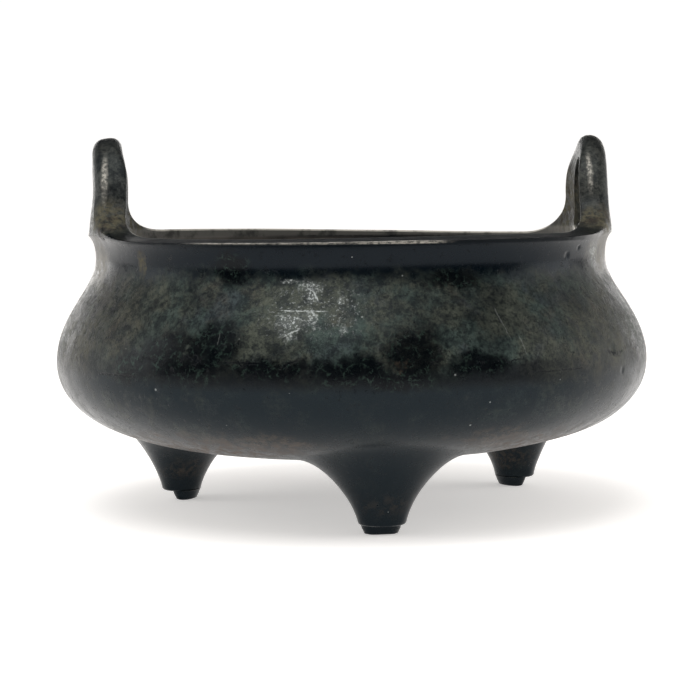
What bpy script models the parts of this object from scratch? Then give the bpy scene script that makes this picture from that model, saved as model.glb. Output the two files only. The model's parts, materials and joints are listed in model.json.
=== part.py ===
# Bronze tripod incense burner with two upright loop handles on its rim.
# The whole vessel is one hollow casting, open at the mouth and standing on three feet.
# Sizes are in metres. The handles stand on the X axis and one foot stands near the front, -Y.

import bpy
import bmesh
from math import asin, cos, pi, radians, sin
from mathutils import Vector

# Heights above the floor
RIM_HEIGHT = 0.0968
NECK_BELOW_RIM = 0.0093
BELLY_HEIGHT = 0.0527
UNDERSIDE_HEIGHT = 0.0220

# Radii of the turned body
LIP_RADIUS = 0.0925
LIP_WIDTH = 0.0100
LIP_FALL = 0.0013
NECK_INSET = 0.0032
BELLY_RADIUS = 0.1037

# Curves of the turned body, each a share of its own stretch
SHOULDER_FULLNESS = 0.48
NECK_FULLNESS = 0.25
UNDERSIDE_FLATNESS = 4.0
UNDERSIDE_ROUNDNESS = 2.05

# Wall and inside
WALL = 0.0045
FLOOR_THICKNESS = 0.0050
LIP_DEPTH = 0.0040

# Loop handles
HANDLE_RISE = 0.0342
HANDLE_HALF_WIDTH = 0.0222
HANDLE_SHOULDER = 0.0135
HANDLE_SPREAD = 0.0475
HANDLE_ARCH = 1.8
HANDLE_ROUND = 0.0036
HANDLE_EDGE = 0.0010
SETBACK_RISE = 0.0110
HANDLE_SETBACKS = {"right": 0.0007, "left": 0.0021}
HANDLE_OUTER_LEANS = {"right": 0.0018, "left": 0.0005}
HANDLE_INNER_LEANS = {"right": 0.0004, "left": 0.0018}
OPENING_HALF_WIDTH = 0.0125
OPENING_RISE = 0.0245

# Feet, each set by the turn of its centre from the front and by how far it stands in
FOOT_INSETS = {"front": 0.0385, "right": 0.0270, "left": 0.0385}
FOOT_TURNS = {"front": 5.8, "right": 124.0, "left": -108.9}
FOOT_TIP_RADIUS = 0.0078
FOOT_FLARE_RADIUS = 0.0275
FOOT_DEPTH_SHARE = 0.88
FLARE_BOW = 1.35
FLARE_ROUND = 0.58
STUB_HEIGHT = 0.0035
STUB_HALF_WIDTH = 0.0068
STUB_HALF_DEPTH = 0.0046
STUB_TAPER = 0.0009
STUB_EDGE = 0.0008
STUB_INSET = 0.0004

# How deep one form runs into the next, and how far a face that would lie on another stays off it
BITE = 0.0012
FLUSH_GAP = 0.0003

# Facets
BODY_SIDES = 72
CAVITY_SIDES = 54
FOOT_SIDES = 20
NECK_STEPS = 4
SHOULDER_STEPS = 8
UNDERSIDE_STEPS = 11
FLARE_STEPS = 7
LEG_STEPS = 5
ARCH_STEPS = 6
CORNER_STEPS = 3
FACE_STEPS = 3

# Sizes that follow from the ones above
MOUTH_RADIUS = LIP_RADIUS - LIP_WIDTH
NECK_RADIUS = LIP_RADIUS - NECK_INSET
NECK_HEIGHT = RIM_HEIGHT - NECK_BELOW_RIM
LIP_EDGE_HEIGHT = RIM_HEIGHT - LIP_FALL


# Shared curves

def bezier(start, lead_out, lead_in, end, share):
    back = 1.0 - share
    return tuple(
        back ** 3 * a + 3 * back ** 2 * share * b + 3 * back * share ** 2 * c + share ** 3 * d
        for a, b, c, d in zip(start, lead_out, lead_in, end)
    )


def underside(radius, belly_radius, belly_height, bottom):
    """Height of the lower belly at a distance from the vessel's axis."""
    reach = min(radius / belly_radius, 1.0)
    fall = (1.0 - reach ** UNDERSIDE_FLATNESS) ** (1.0 / UNDERSIDE_ROUNDNESS)
    return belly_height - (belly_height - bottom) * fall


def neck_curve(radius, bottom, outer, top):
    """Hollow arc from the narrowest ring of the neck up and out to the lip."""
    rise = top - bottom
    run = outer - radius
    bend = (rise * rise + run * run) / (2.0 * run)
    sweep = asin(min(rise / bend, 1.0))
    points = []
    for step in range(NECK_STEPS + 1):
        angle = sweep * step / NECK_STEPS
        points.append((radius + bend * (1.0 - cos(angle)), bottom + bend * sin(angle)))
    return points


def belly_curve(inset, bottom):
    """Shoulder and underside of the belly, top to bottom, set in by a wall's thickness."""
    wide = BELLY_RADIUS - inset
    narrow = NECK_RADIUS - inset
    span = NECK_HEIGHT - BELLY_HEIGHT
    start = (narrow, NECK_HEIGHT)
    lead_out = (narrow, NECK_HEIGHT - span * NECK_FULLNESS)
    lead_in = (wide, BELLY_HEIGHT + span * SHOULDER_FULLNESS)
    end = (wide, BELLY_HEIGHT)
    points = []
    for step in range(SHOULDER_STEPS + 1):
        points.append(bezier(start, lead_out, lead_in, end, step / SHOULDER_STEPS))
    for step in range(1, UNDERSIDE_STEPS + 1):
        radius = wide * cos(0.5 * pi * step / UNDERSIDE_STEPS)
        points.append((radius, underside(radius, wide, BELLY_HEIGHT, bottom)))
    points[-1] = (0.0, bottom)
    return points


# Mesh helpers

def turned(name, profile, sides):
    """A closed solid turned about the Z axis from a profile that runs top to bottom."""
    mesh = bmesh.new()
    verts = [mesh.verts.new((radius, 0.0, height)) for radius, height in profile]
    edges = [mesh.edges.new(pair) for pair in zip(verts, verts[1:])]
    bmesh.ops.spin(
        mesh, geom=verts + edges, cent=(0.0, 0.0, 0.0), axis=(0.0, 0.0, 1.0),
        angle=2.0 * pi, steps=sides, use_merge=True,
    )
    bmesh.ops.remove_doubles(mesh, verts=mesh.verts, dist=0.000001)
    return finish_solid(name, mesh)


def lofted(name, rings):
    """A closed solid through rings of points, its two ends closed by flat faces."""
    mesh = bmesh.new()
    loops = []
    for ring in rings:
        verts = [mesh.verts.new(point) for point in ring]
        loops.append([mesh.edges.new(pair) for pair in zip(verts, verts[1:] + verts[:1])])
    for below, above in zip(loops, loops[1:]):
        bmesh.ops.bridge_loops(mesh, edges=below + above)
    bmesh.ops.contextual_create(mesh, geom=loops[0])
    bmesh.ops.contextual_create(mesh, geom=loops[-1])
    return finish_solid(name, mesh)


def finish_solid(name, mesh):
    bmesh.ops.recalc_face_normals(mesh, faces=mesh.faces)
    bmesh.ops.triangulate(mesh, faces=mesh.faces)
    data = bpy.data.meshes.new(name)
    mesh.to_mesh(data)
    mesh.free()
    solid = bpy.data.objects.new(name, data)
    bpy.context.scene.collection.objects.link(solid)
    return solid


def combine(body, other, operation):
    """Adds or cuts another form with a Boolean, which stays on the body."""
    change = body.modifiers.new(other.name, "BOOLEAN")
    change.operation = operation
    change.solver = "EXACT"
    change.object = other
    other.display_type = "WIRE"
    other.hide_render = True


# Turned body and its inside

def lip_surface(radius):
    """Height of the lip's top, which falls a little towards its outer edge."""
    return RIM_HEIGHT - LIP_FALL * (radius - MOUTH_RADIUS) / LIP_WIDTH


def body_profile():
    inner = MOUTH_RADIUS - BITE
    rim = [(0.0, lip_surface(inner)), (inner, lip_surface(inner))]
    neck = neck_curve(NECK_RADIUS, NECK_HEIGHT, LIP_RADIUS, LIP_EDGE_HEIGHT)
    neck.reverse()
    return rim + neck[:-1] + belly_curve(0.0, UNDERSIDE_HEIGHT)


def cavity_profile():
    above = RIM_HEIGHT + BITE
    lip_under = RIM_HEIGHT - LIP_DEPTH
    mouth = [(0.0, above), (MOUTH_RADIUS, above), (MOUTH_RADIUS, lip_under)]
    return mouth + belly_curve(WALL, UNDERSIDE_HEIGHT + FLOOR_THICKNESS)


# Handles

def handle_pairs():
    """Points of the opening and of the outline facing each other, from one root to the top."""
    pairs = []
    arch_base = OPENING_RISE - OPENING_HALF_WIDTH
    flare = HANDLE_SPREAD - HANDLE_HALF_WIDTH
    for step in range(LEG_STEPS):
        angle = 0.5 * pi * step / LEG_STEPS
        across = HANDLE_SPREAD - flare * sin(angle)
        rise = HANDLE_SHOULDER * (1.0 - cos(angle)) - BITE * cos(angle) ** 4
        inner_rise = (arch_base + BITE) * step / LEG_STEPS - BITE
        pairs.append(((OPENING_HALF_WIDTH, inner_rise), (across, rise)))
    for step in range(ARCH_STEPS + 1):
        angle = 0.5 * pi * step / ARCH_STEPS
        level = abs(cos(angle))
        inner = (OPENING_HALF_WIDTH * level, arch_base + OPENING_HALF_WIDTH * sin(angle))
        across = HANDLE_HALF_WIDTH * level ** (2.0 / HANDLE_ARCH)
        climb = (HANDLE_RISE - HANDLE_SHOULDER) * sin(angle) ** (2.0 / HANDLE_ARCH)
        pairs.append((inner, (across, HANDLE_SHOULDER + climb)))
    mirrored = [((-a[0], a[1]), (-b[0], b[1])) for a, b in reversed(pairs[:-1])]
    return pairs + mirrored


def handle_section(width):
    """Section of a leg: distance across, face it lies on and distance in from that face."""
    corner = min(HANDLE_ROUND, 0.45 * width)
    edge = min(HANDLE_EDGE, 0.2 * width)
    turns = [0.5 * pi * step / CORNER_STEPS for step in range(CORNER_STEPS + 1)]
    rounding = [(corner * (1.0 - cos(turn)), corner * (1.0 - sin(turn))) for turn in turns]
    between = [width * step / FACE_STEPS for step in range(1, FACE_STEPS)]
    section = [(0.0, "inside", edge)]
    section += [(across, "outside", depth) for across, depth in rounding]
    section += [(across, "outside", 0.0) for across in between]
    section += [(width - across, "outside", depth) for across, depth in reversed(rounding)]
    section += [(width, "inside", edge), (width - edge, "inside", 0.0)]
    section += [(across, "inside", 0.0) for across in reversed(between)]
    section.append((edge, "inside", 0.0))
    return section


def handle_point(key, across, rise, face, depth):
    """A point of the handle, bent round the vessel's axis with the rim."""
    share = min(max(rise / HANDLE_RISE, 0.0), 1.0)
    settle = 0.5 - 0.5 * cos(pi * min(max(rise / SETBACK_RISE, 0.0), 1.0))
    outside = LIP_RADIUS - HANDLE_SETBACKS[key] * settle - HANDLE_OUTER_LEANS[key] * share
    inside = MOUTH_RADIUS + FLUSH_GAP - HANDLE_INNER_LEANS[key] * settle * share
    tuck = max(-rise, 0.0)
    radius = outside - depth - tuck if face == "outside" else inside + depth
    turn = asin(across / MOUTH_RADIUS)
    return (radius * cos(turn), radius * sin(turn), lip_surface(radius) + rise)


def make_handle(key, side):
    rings = []
    for inner, outer in handle_pairs():
        span = Vector(outer) - Vector(inner)
        direction = span.normalized()
        ring = []
        for across, face, depth in handle_section(span.length):
            place = Vector(inner) + direction * across
            x, y, z = handle_point(key, place.x, place.y, face, depth)
            ring.append((side * x, side * y, z))
        rings.append(ring)
    return lofted(key + "_handle_form", rings)


# Feet

def foot_ring(centre, outward, half_width, half_depth, height_at):
    sideways = Vector((-outward.y, outward.x, 0.0))
    ring = []
    for side in range(FOOT_SIDES):
        angle = 2.0 * pi * side / FOOT_SIDES
        place = centre + outward * (half_depth * cos(angle)) + sideways * (half_width * sin(angle))
        ring.append((place.x, place.y, height_at(place.length)))
    return ring


def make_foot(name, place, outward):
    """A tapering foot whose concave flare runs out on the belly all round."""

    def level(share):
        def height(radius):
            top = underside(radius, BELLY_RADIUS, BELLY_HEIGHT, UNDERSIDE_HEIGHT)
            return STUB_HEIGHT + share * (top - STUB_HEIGHT) + BITE * share ** 12
        return height

    rings = []
    for step in range(FLARE_STEPS + 1):
        share = 1.0 - (1.0 - step / FLARE_STEPS) ** 1.5
        spread = 1.0 - (1.0 - share ** FLARE_BOW) ** FLARE_ROUND
        half_width = FOOT_TIP_RADIUS + (FOOT_FLARE_RADIUS - FOOT_TIP_RADIUS) * spread
        half_depth = half_width * FOOT_DEPTH_SHARE
        rings.append(foot_ring(place, outward, half_width, half_depth, level(share)))
    return lofted(name, rings)


def make_stub(name, place, outward):
    """The small oval stub under a foot, close to the foot's inner side."""
    shift = FOOT_TIP_RADIUS * FOOT_DEPTH_SHARE - STUB_HALF_DEPTH - STUB_INSET
    centre = place - outward * shift
    levels = [(0.0, STUB_TAPER + STUB_EDGE), (STUB_EDGE, STUB_TAPER), (STUB_HEIGHT + BITE, 0.0)]
    rings = []
    for height, inset in levels:
        rings.append(foot_ring(
            centre, outward, STUB_HALF_WIDTH - inset, STUB_HALF_DEPTH - inset,
            lambda radius, height=height: height,
        ))
    return lofted(name, rings)


def foot_place(key):
    """Centre of a foot on the floor and the direction away from the vessel's axis."""
    turn = radians(FOOT_TURNS[key])
    outward = Vector((sin(turn), -cos(turn), 0.0))
    return outward * (BELLY_RADIUS - FOOT_INSETS[key]), outward


# Material

def bronze():
    material = bpy.data.materials.new("patinated cast bronze")
    material.use_nodes = True
    shader = material.node_tree.nodes["Principled BSDF"]
    shader.inputs["Base Color"].default_value = (0.030, 0.033, 0.031, 1.0)
    shader.inputs["Metallic"].default_value = 0.7
    shader.inputs["Roughness"].default_value = 0.42
    return material


def build():
    for old in list(bpy.data.objects):
        bpy.data.objects.remove(old)
    censer = turned("censer", body_profile(), BODY_SIDES)
    for key, side in (("right", 1.0), ("left", -1.0)):
        combine(censer, make_handle(key, side), "UNION")
    for key in FOOT_TURNS:
        place, outward = foot_place(key)
        combine(censer, make_foot(key + "_foot_form", place, outward), "UNION")
        combine(censer, make_stub(key + "_stub_form", place, outward), "UNION")
    combine(censer, turned("cavity_form", cavity_profile(), CAVITY_SIDES), "DIFFERENCE")
    censer.data.materials.append(bronze())
    censer.data.shade_smooth()
    censer.data.set_sharp_from_angle(angle=radians(35.0))


build()
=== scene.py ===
# Bronze tripod incense burner: one hollow casting with two loop handles and three flared feet.
import bmesh
import bpy
import json
import math
from mathutils import Matrix, Vector, noise

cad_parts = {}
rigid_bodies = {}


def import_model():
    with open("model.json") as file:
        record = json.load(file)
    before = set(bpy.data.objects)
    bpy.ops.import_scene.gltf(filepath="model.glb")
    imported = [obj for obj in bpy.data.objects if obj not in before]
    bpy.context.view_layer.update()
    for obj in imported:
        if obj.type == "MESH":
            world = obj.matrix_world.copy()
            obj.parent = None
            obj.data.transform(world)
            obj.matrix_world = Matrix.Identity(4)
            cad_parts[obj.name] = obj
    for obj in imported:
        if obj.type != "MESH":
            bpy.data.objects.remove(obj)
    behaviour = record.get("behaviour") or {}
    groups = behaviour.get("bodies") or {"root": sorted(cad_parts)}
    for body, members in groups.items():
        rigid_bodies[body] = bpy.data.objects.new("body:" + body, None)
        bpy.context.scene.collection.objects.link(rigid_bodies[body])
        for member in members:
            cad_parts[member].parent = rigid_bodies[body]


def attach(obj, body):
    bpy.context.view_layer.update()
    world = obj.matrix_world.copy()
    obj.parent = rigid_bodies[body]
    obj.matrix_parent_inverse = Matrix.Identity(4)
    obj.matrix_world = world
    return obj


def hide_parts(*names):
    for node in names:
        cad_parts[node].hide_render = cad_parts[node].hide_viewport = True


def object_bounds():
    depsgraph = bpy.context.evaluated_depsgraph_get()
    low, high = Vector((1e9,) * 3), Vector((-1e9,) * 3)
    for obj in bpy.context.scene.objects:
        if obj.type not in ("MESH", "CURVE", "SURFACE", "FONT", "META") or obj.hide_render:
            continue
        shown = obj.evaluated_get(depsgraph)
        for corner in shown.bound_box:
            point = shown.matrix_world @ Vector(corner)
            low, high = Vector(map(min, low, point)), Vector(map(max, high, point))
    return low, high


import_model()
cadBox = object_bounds()
print("frame loaded")


def smooth(value, low=0.0, high=1.0):
    share = min(max((value - low) / (high - low), 0.0), 1.0)
    return share * share * (3.0 - 2.0 * share)


def mix(a, b, share):
    return a + (b - a) * share


def lengthsAlong(points):
    lengths = [0.0]
    for a, b in zip(points, points[1:]):
        lengths.append(lengths[-1] + (b - a).length)
    return lengths


def pointAt(points, lengths, distance):
    # a point of a polyline by its distance from the start
    low, high = 0, len(points) - 1
    while high - low > 1:
        middle = (low + high) // 2
        if lengths[middle] <= distance:
            low = middle
        else:
            high = middle
    span = max(lengths[high] - lengths[low], 1e-12)
    return points[low].lerp(points[high], min(max((distance - lengths[low]) / span, 0.0), 1.0))


def evenly(points, steps):
    # steps + 1 points at even distances
    points = [Vector(p) for p in points]
    lengths = lengthsAlong(points)
    return [pointAt(points, lengths, lengths[-1] * (i / steps)) for i in range(steps + 1)]


# the turned body's wall, in metres
bodyShape = {
    "columns": 300,  # round the axis
    "crowding": 0.5,  # how much closer the columns stand at the handles
    "rimHeight": 0.0968,
    "neckHeight": 0.0875,
    "bellyHeight": 0.0527,
    "bottomHeight": 0.022,
    "ridgeRadius": 0.0925,  # the lip's crisp lower edge
    "lipWidth": 0.01,
    "lipFall": 0.0013,  # how much lower the lip is at the ridge
    "lipDepth": 0.004,
    "neckRadius": 0.0893,
    "bellyRadius": 0.1037,
    "wall": 0.0045,
    "floorThickness": 0.005,
    "undersideBend": 4.0,  # how sharply the belly turns under
    "undersideFullness": 2.05,
    "shoulderPull": (0.48, 0.25),  # how far the shoulder's curve keeps to the belly, and to the neck
    "rows": {"underside": 52, "shoulder": 22, "neck": 9, "mouth": 4, "insideShoulder": 14, "insideFloor": 26},
}
mouthRadius = bodyShape["ridgeRadius"] - bodyShape["lipWidth"]


def undersideHeight(radius, inset=0.0, bottom=None):
    b = bodyShape
    bottom = b["bottomHeight"] if bottom is None else bottom
    reach = min(radius / (b["bellyRadius"] - inset), 1.0)
    drop = b["bellyHeight"] - bottom
    return b["bellyHeight"] - drop * (1.0 - reach ** b["undersideBend"]) ** (1.0 / b["undersideFullness"])


def undersideCurve(inset, bottom):
    wide = bodyShape["bellyRadius"] - inset
    radii = [wide * math.sin(0.5 * math.pi * i / 200) for i in range(201)]
    return [(r, undersideHeight(r, inset, bottom)) for r in radii]


def shoulderCurve(inset):
    b = bodyShape
    wide, narrow = b["bellyRadius"] - inset, b["neckRadius"] - inset
    span = b["neckHeight"] - b["bellyHeight"]
    below, above = b["shoulderPull"]
    p = [Vector(c) for c in ((wide, b["bellyHeight"]), (wide, b["bellyHeight"] + below * span),
                             (narrow, b["neckHeight"] - above * span), (narrow, b["neckHeight"]))]
    curve = []
    for i in range(81):
        t = i / 80
        curve.append(p[0] * (1 - t) ** 3 + p[1] * 3 * t * (1 - t) ** 2
                     + p[2] * 3 * t * t * (1 - t) + p[3] * t ** 3)
    return curve


def neckCurve():
    # hollow arc from the narrowest ring up and out to the ridge
    b = bodyShape
    rise = b["rimHeight"] - b["lipFall"] - b["neckHeight"]
    run = b["ridgeRadius"] - b["neckRadius"]
    bend = (rise * rise + run * run) / (2.0 * run)
    sweep = math.asin(min(rise / bend, 1.0))
    arc = []
    for i in range(41):
        angle = sweep * i / 40
        arc.append((b["neckRadius"] + bend * (1.0 - math.cos(angle)),
                    b["neckHeight"] + bend * math.sin(angle)))
    return arc


# loop handles, raised out of the lip's own surface
handleShape = {
    "rise": 0.0342,
    "halfWidth": 0.0222,
    "shoulder": 0.0135,  # rise at which the flared root becomes the arch
    "spread": 0.0475,  # half width of the root along the lip
    "arch": 1.8,
    "round": 0.0036,  # outer edges
    "edge": 0.0007,  # crisp inner edges
    "crownEdge": 0.0046,  # rounder over the crown
    "setbackRise": {"right": 0.011, "left": 0.0175},
    "gainRise": 0.011,
    # the nearer legs are thicker inwards than the farther ones
    "right": {"setback": 0.0005, "outerLean": 0.0019, "innerLean": 0.002, "nearGain": 0.0008,
              "farGain": -0.0012, "trim": 0.0008},
    "left": {"setback": 0.0015, "outerLean": 0.0005, "innerLean": 0.0027, "nearGain": 0.0014,
             "farGain": -0.0009, "trim": 0.0006},
    "ridgeLift": 0.0014,  # the ridge climbs to the rim's height under a handle
    "liftReach": (44.0, 26.0),  # degrees from the handle's middle where that starts, and how long it takes
    "trimReach": (36.0, 18.0),  # the same for the filed ridge
    "openingHalfWidth": 0.0125,
    "openingRise": 0.0245,
    "openingCorner": 0.003,
    "openingRound": 0.0016,
}
# rows from the ridge over the handle and down the mouth's wall
lipRows = {"outer": 22, "round": 7, "top": 6, "edge": 4, "inner": 22}


def handleOutline():
    # (across, rise) from one root over the arch to the other
    h = handleShape
    half = []
    for i in range(120):
        angle = 0.5 * math.pi * i / 120
        half.append((h["spread"] - (h["spread"] - h["halfWidth"]) * math.sin(angle),
                     h["shoulder"] * (1.0 - math.cos(angle))))
    for i in range(121):
        angle = 0.5 * math.pi * i / 120
        half.append((h["halfWidth"] * abs(math.cos(angle)) ** (2.0 / h["arch"]),
                     h["shoulder"] + (h["rise"] - h["shoulder"]) * math.sin(angle) ** (2.0 / h["arch"])))
    half = [Vector(p) for p in half]
    return half + [Vector((-p.x, p.y)) for p in reversed(half[:-1])]


outline = handleOutline()
outlineLengths = lengthsAlong(outline)


def nearHandle(turn, reach):
    # 1 at a handle's middle, 0 away from it
    return smooth(math.radians(reach[0]) - abs(turn), 0.0, math.radians(reach[1]))


def lipSurface(radius, turn):
    # the lip's top; it falls outwards, less so under the handles
    fall = bodyShape["lipFall"] - handleShape["ridgeLift"] * nearHandle(turn, handleShape["liftReach"])
    return bodyShape["rimHeight"] - fall * (radius - mouthRadius) / bodyShape["lipWidth"]


def ridgeTrim(side, turn):
    # the ridge is filed back a little where a handle stands on it
    key = "right" if side > 0 else "left"
    return handleShape[key]["trim"] * nearHandle(turn, handleShape["trimReach"])


def handlePoint(side, across, rise, outside, depth):
    h, key = handleShape, "right" if side > 0 else "left"
    share = min(max(rise / h["rise"], 0.0), 1.0)
    settle = 0.5 - 0.5 * math.cos(math.pi * min(max(rise / h["setbackRise"][key], 0.0), 1.0))
    flush = 0.5 - 0.5 * math.cos(math.pi * min(max(rise / h["gainRise"], 0.0), 1.0))
    turn = math.asin(across / mouthRadius)
    outer = bodyShape["ridgeRadius"] - ridgeTrim(side, turn)
    outer -= h[key]["setback"] * settle + h[key]["outerLean"] * share
    nearness = smooth(-side * across, -h["halfWidth"], h["halfWidth"])
    gain = mix(h[key]["farGain"], h[key]["nearGain"], nearness) + h[key]["innerLean"] * share
    inner = mouthRadius - gain * flush
    radius = outer - depth if outside else inner + depth
    lift = h["ridgeLift"] * share * (radius - mouthRadius) / bodyShape["lipWidth"]
    height = lipSurface(radius, turn) + rise - lift
    return Vector((side * radius * math.cos(turn), side * radius * math.sin(turn), height))


def lipColumn(angle):
    # one column's points from the ridge to the bottom of the mouth's wall
    b, h = bodyShape, handleShape
    side = 1.0 if math.cos(angle) > 0.0 else -1.0
    turn = math.atan2(side * math.sin(angle), side * math.cos(angle))
    base = mouthRadius * math.sin(turn)
    onHandle = abs(base) < h["spread"]
    if onHandle:
        share = 0.5 - 0.5 * base / h["spread"]
        distance = share * outlineLengths[-1]
        crest = pointAt(outline, outlineLengths, distance)
        ahead = pointAt(outline, outlineLengths, min(distance + 0.0004, outlineLengths[-1]))
        behind = pointAt(outline, outlineLengths, max(distance - 0.0004, 0.0))
        run = (ahead - behind).normalized()
        normal = Vector((-run.y, run.x))
        if normal.y < 0.0:
            normal = -normal
        if share < 0.02 or share > 0.98:
            normal = Vector((0.0, 1.0))
    else:
        crest, normal = Vector((base, 0.0)), Vector((0.0, 1.0))
    rise = crest.y
    corner = min(h["round"], 0.6 * rise)
    edge = mix(h["edge"], h["crownEdge"], smooth(rise, 0.02, 0.033))

    def place(spot, outside, depth):
        if onHandle:
            return handlePoint(side, spot.x, spot.y, outside, depth)
        radius = b["ridgeRadius"] - ridgeTrim(side, turn) - depth if outside else mouthRadius + depth
        return Vector((radius * math.cos(angle), radius * math.sin(angle),
                       lipSurface(radius, turn) + spot.y))

    root = Vector((base, 0.0))
    foot = Vector((base, -b["lipDepth"]))
    parts = {"outer": [], "round": [], "top": [], "edge": [], "inner": []}
    for i in range(25):
        parts["outer"].append(place(root.lerp(crest - normal * corner, i / 24), True, 0.0))
    for i in range(17):
        bend = 0.5 * math.pi * i / 16
        spot = crest - normal * (corner * (1.0 - math.sin(bend)))
        parts["round"].append(place(spot, True, corner * (1.0 - math.cos(bend))))
    first, last = parts["round"][-1], place(crest, False, edge)
    parts["top"] = [first.lerp(last, i / 8) for i in range(9)]
    for i in range(9):
        bend = 0.5 * math.pi * i / 8
        spot = crest - normal * (edge * (1.0 - math.cos(bend)))
        parts["edge"].append(place(spot, False, edge * (1.0 - math.sin(bend))))
    for i in range(25):
        parts["inner"].append(place((crest - normal * edge).lerp(foot, i / 24), False, 0.0))
    # where the rows of each stretch end, by distance; near the roots they spread over the lip
    path = [parts["outer"][0]]
    ends = []
    for key in lipRows:
        path += parts[key][1:]
        ends.append(lengthsAlong(path)[-1])
    lengths = lengthsAlong(path)
    spreadEnds = list(ends)
    rows = list(lipRows.values())
    over = sum(rows[:3])
    spreadEnds[0] = ends[2] * rows[0] / over
    spreadEnds[1] = ends[2] * (rows[0] + rows[1]) / over
    raised = smooth(rise, 0.0003, 0.0045)
    ends = [mix(a, c, raised) for a, c in zip(spreadEnds, ends)]
    points, start = [path[0]], 0.0
    for count, end in zip(rows, ends):
        points += [pointAt(path, lengths, mix(start, end, (i + 1) / count)) for i in range(count)]
        start = end
    return points


# feet, drawn down out of the belly's own surface
footShape = {
    "insets": {"front": 0.0385, "right": 0.027, "left": 0.0385},
    "turns": {"front": 5.8, "right": 124.0, "left": -108.9},  # degrees from the front
    "tipRadius": 0.0078,
    "flareRadius": 0.0275,
    "depthShare": 0.88,
    "bow": 1.35,
    "fullness": 0.58,
    "drawHeight": 0.021,  # from the ledge to where the flare meets the belly
    "ledgeHeight": 0.0035,
    "tipShare": 0.36,  # share of the drawn disc that ends at the ledge
    "stubHalfWidth": 0.0068,
    "stubHalfDepth": 0.0046,
    "stubTaper": 0.0009,
    "stubEdge": 0.0009,
    "stubInset": 0.0004,
}


def footPlaces():
    places = {}
    for key, turn in footShape["turns"].items():
        angle = math.radians(turn)
        outward = Vector((math.sin(angle), -math.cos(angle), 0.0))
        places[key] = (outward * (bodyShape["bellyRadius"] - footShape["insets"][key]), outward)
    return places


def footReach(share):
    # half width of the foot at a share of its height, as a share of the flare
    f = footShape
    spread = 1.0 - (1.0 - max(share, 0.0) ** f["bow"]) ** f["fullness"]
    tip = f["tipRadius"] / f["flareRadius"]
    return tip + (1.0 - tip) * spread


footProfile = [Vector((footReach(1.0 - (i / 200) ** 1.6) * footShape["flareRadius"],
                       footShape["drawHeight"] * (1.0 - (i / 200) ** 1.6))) for i in range(201)]
footLengths = lengthsAlong(footProfile)


def drawFoot(mesh, centre, outward):
    # vertices of the belly inside the flare move down on to the foot
    f = footShape
    across = Vector((-outward.y, outward.x, 0.0))
    for vert in mesh.verts:
        if vert.co.z > bodyShape["bellyHeight"] or vert[rowLayer] > undersideRows:
            continue
        flat = Vector((vert.co.x - centre.x, vert.co.y - centre.y, 0.0))
        p, q = flat.dot(outward) / f["depthShare"], flat.dot(across)
        reach = math.hypot(p, q) / f["flareRadius"]
        if reach >= 1.0:
            continue
        if reach > f["tipShare"]:
            distance = footLengths[-1] * (1.0 - reach) / (1.0 - f["tipShare"])
            spot = pointAt(footProfile, footLengths, distance)
            grow, share = spot.x / f["flareRadius"], spot.y / f["drawHeight"]
        else:
            grow = f["tipRadius"] / f["flareRadius"] * (0.2 + 0.8 * (reach / f["tipShare"]) ** 0.5)
            share = -0.25 * (1.0 - reach / f["tipShare"]) - 1e-4
        p, q = (p * grow / max(reach, 1e-9)) * f["depthShare"], q * grow / max(reach, 1e-9)
        place = centre + outward * p + across * q
        top = undersideHeight(place.length)
        vert.co = Vector((place.x, place.y, f["ledgeHeight"] + share * (top - f["ledgeHeight"])))


def closeFoot(mesh, centre, outward):
    # cuts the drawn tip level, then steps in to the small oval stub
    f = footShape
    across = Vector((-outward.y, outward.x, 0.0))
    near = dict.fromkeys(v for v in mesh.verts if v[rowLayer] <= undersideRows
                         and (v.co.xy - centre.xy).length < f["flareRadius"]
                         and v.co.z < f["drawHeight"] - 0.001)
    geom = list(near) + [e for e in mesh.edges if e.verts[0] in near and e.verts[1] in near]
    geom += [face for face in mesh.faces if all(v in near for v in face.verts)]
    cut = bmesh.ops.bisect_plane(mesh, geom=geom, dist=1e-7, plane_co=(0, 0, f["ledgeHeight"] + 0.0005),
                                 plane_no=(0, 0, -1), clear_outer=True)
    loop = [e for e in cut["geom_cut"] if isinstance(e, bmesh.types.BMEdge)]
    shift = f["tipRadius"] * f["depthShare"] - f["stubHalfDepth"] - f["stubInset"]
    middle = centre - outward * shift

    def step(edges, height, halfWidth, halfDepth, around):
        made = bmesh.ops.extrude_edge_only(mesh, edges=edges)["geom"]
        for vert in [v for v in made if isinstance(v, bmesh.types.BMVert)]:
            flat = Vector((vert.co.x - centre.x, vert.co.y - centre.y, 0.0))
            angle = math.atan2(flat.dot(across) / halfWidth, flat.dot(outward) / halfDepth)
            spot = around + outward * halfDepth * math.cos(angle) + across * halfWidth * math.sin(angle)
            vert.co = Vector((spot.x, spot.y, height))
        return [e for e in made if isinstance(e, bmesh.types.BMEdge)]

    tip, ledge = f["tipRadius"], f["ledgeHeight"]
    for inset, drop in ((0.0001, 0.0003), (0.0005, 0.0)):
        loop = step(loop, ledge + drop, tip - inset, (tip - inset) * f["depthShare"], centre)
    w, d, taper, edge = f["stubHalfWidth"], f["stubHalfDepth"], f["stubTaper"], f["stubEdge"]
    for inset, height in ((-0.0004, ledge + 0.0001), (0.0, ledge - 0.0005), (taper * 0.5, 0.5 * ledge),
                          (taper, edge), (taper + 0.3 * edge, 0.3 * edge), (taper + edge, 0.0)):
        loop = step(loop, height, w - inset, d - inset, middle)
    bmesh.ops.contextual_create(mesh, geom=loop)


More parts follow.
